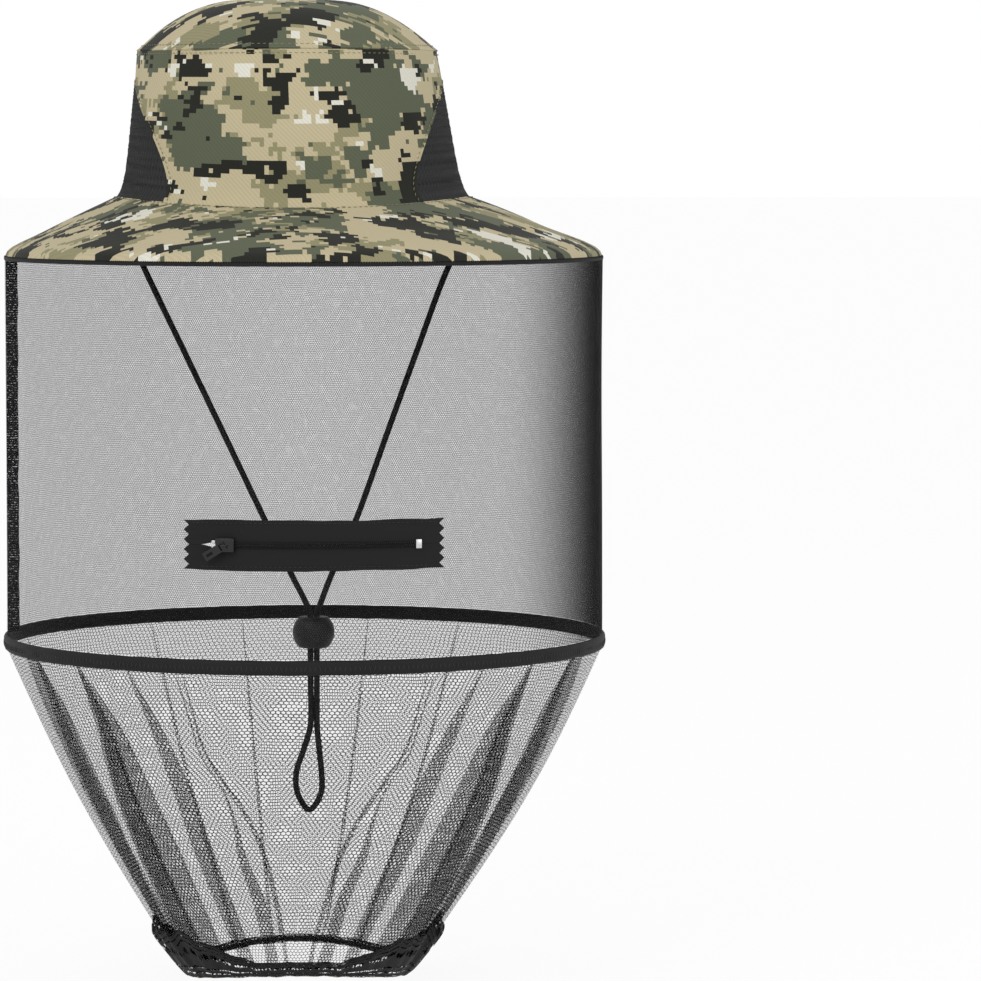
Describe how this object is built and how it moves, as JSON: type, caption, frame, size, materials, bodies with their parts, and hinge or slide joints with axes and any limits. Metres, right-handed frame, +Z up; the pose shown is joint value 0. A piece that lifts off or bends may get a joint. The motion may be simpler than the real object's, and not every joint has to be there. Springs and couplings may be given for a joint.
{
  "type": "beekeeping veil",
  "caption": "Brimmed cloth hat with side vents and a round net veil on a spring hoop, a zipped mouth slit, a gathered neck skirt and a chin cord with a sprung lock.",
  "frame": {"origin": "centre of the head opening, at the seam between crown and brim", "axes": "+Z up towards the crown, -Y towards the front (the wearer's face), +X towards the wearer's left"},
  "size_m": [0.3332, 0.3344, 0.534],
  "materials": {
    "camouflage_twill": "matte",
    "airmesh": "matte",
    "black_cloth": "matte",
    "black_binding": "matte",
    "interlining": "matte",
    "cord": "matte",
    "lock_plastic": "satin",
    "spring_steel": "satin",
    "fine_net": "matte",
    "coarse_net": "matte",
    "elastic": "matte",
    "zip_tape": "matte",
    "zip_nylon": "satin",
    "zip_metal": "satin",
    "slider_metal": "gloss"
  },
  "bodies": {
    "hat": {"crown_top": "camouflage_twill", "crown_front_panel": "camouflage_twill", "crown_back_panel": "camouflage_twill", "vent_left": "airmesh", "vent_right": "airmesh", "sweatband": "black_cloth", "brim_top": "camouflage_twill", "brim_interlining": "interlining", "brim_lining": "black_cloth", "brim_edge_binding": "black_binding", "cord_anchor_left": "black_cloth", "cord_anchor_right": "black_cloth", "chin_cord": "cord", "veil_wall": "fine_net", "veil_side_seam": "fine_net"},
    "cord_lock": {"cord_lock_body": "lock_plastic", "cord_lock_spring": "spring_steel"},
    "lock_plunger": {"cord_lock_plunger": "lock_plastic"},
    "hoop": {"hoop_wire": "spring_steel", "hoop_ferrule": "spring_steel", "hoop_binding": "black_binding", "skirt": "coarse_net"},
    "hem": {"hem_casing": "coarse_net", "hem_elastic": "elastic"},
    "mouth_zip": {"zip_tape_upper": "zip_tape", "zip_tape_lower": "zip_tape", "zip_coil_upper": "zip_nylon", "zip_coil_lower": "zip_nylon", "zip_bottom_stop": "zip_metal", "zip_top_stops": "zip_metal"},
    "slider": {"slider_body": "slider_metal"},
    "pull": {"slider_pull": "slider_metal"}
  },
  "joints": [
    {"name": "veil_fold", "type": "slide", "parent": "hat", "child": "hoop", "axis": [0, 0, 1], "range_m": [0, 0.15], "deforming": ["veil_wall", "veil_side_seam"]},
    {"name": "skirt_fold", "type": "slide", "parent": "hoop", "child": "hem", "axis": [0, 0, 1], "range_m": [0, 0.14], "deforming": ["skirt"]},
    {"name": "zip_rise", "type": "slide", "parent": "hat", "child": "mouth_zip", "axis": [0, 0, 1], "range_m": [0, 0.107]},
    {"name": "slider_run", "type": "hinge", "parent": "mouth_zip", "child": "slider", "pos_m": [0, 0, -0.17795], "axis": [0, 0, 1], "range_deg": [0, 32.5]},
    {"name": "pull_lift", "type": "hinge", "parent": "slider", "child": "pull", "pos_m": [-0.04222, -0.16442, -0.17795], "axis": [-0.5133, 0.1318, 0.848], "range_deg": [0, 150]},
    {"name": "lock_slide", "type": "slide", "parent": "hat", "child": "cord_lock", "axis": [0, 0, -1], "range_m": [0, 0.035]},
    {"name": "plunger_press", "type": "slide", "parent": "cord_lock", "child": "lock_plunger", "axis": [0, -1, 0], "range_m": [0, 0.0035], "stiffness_N_per_m": 600, "springref_m": -0.003, "deforming": ["cord_lock_spring"]}
  ],
  "couplings": [
    {"joint": "zip_rise", "follows": "veil_fold", "ratio": 0.7067}
  ]
}
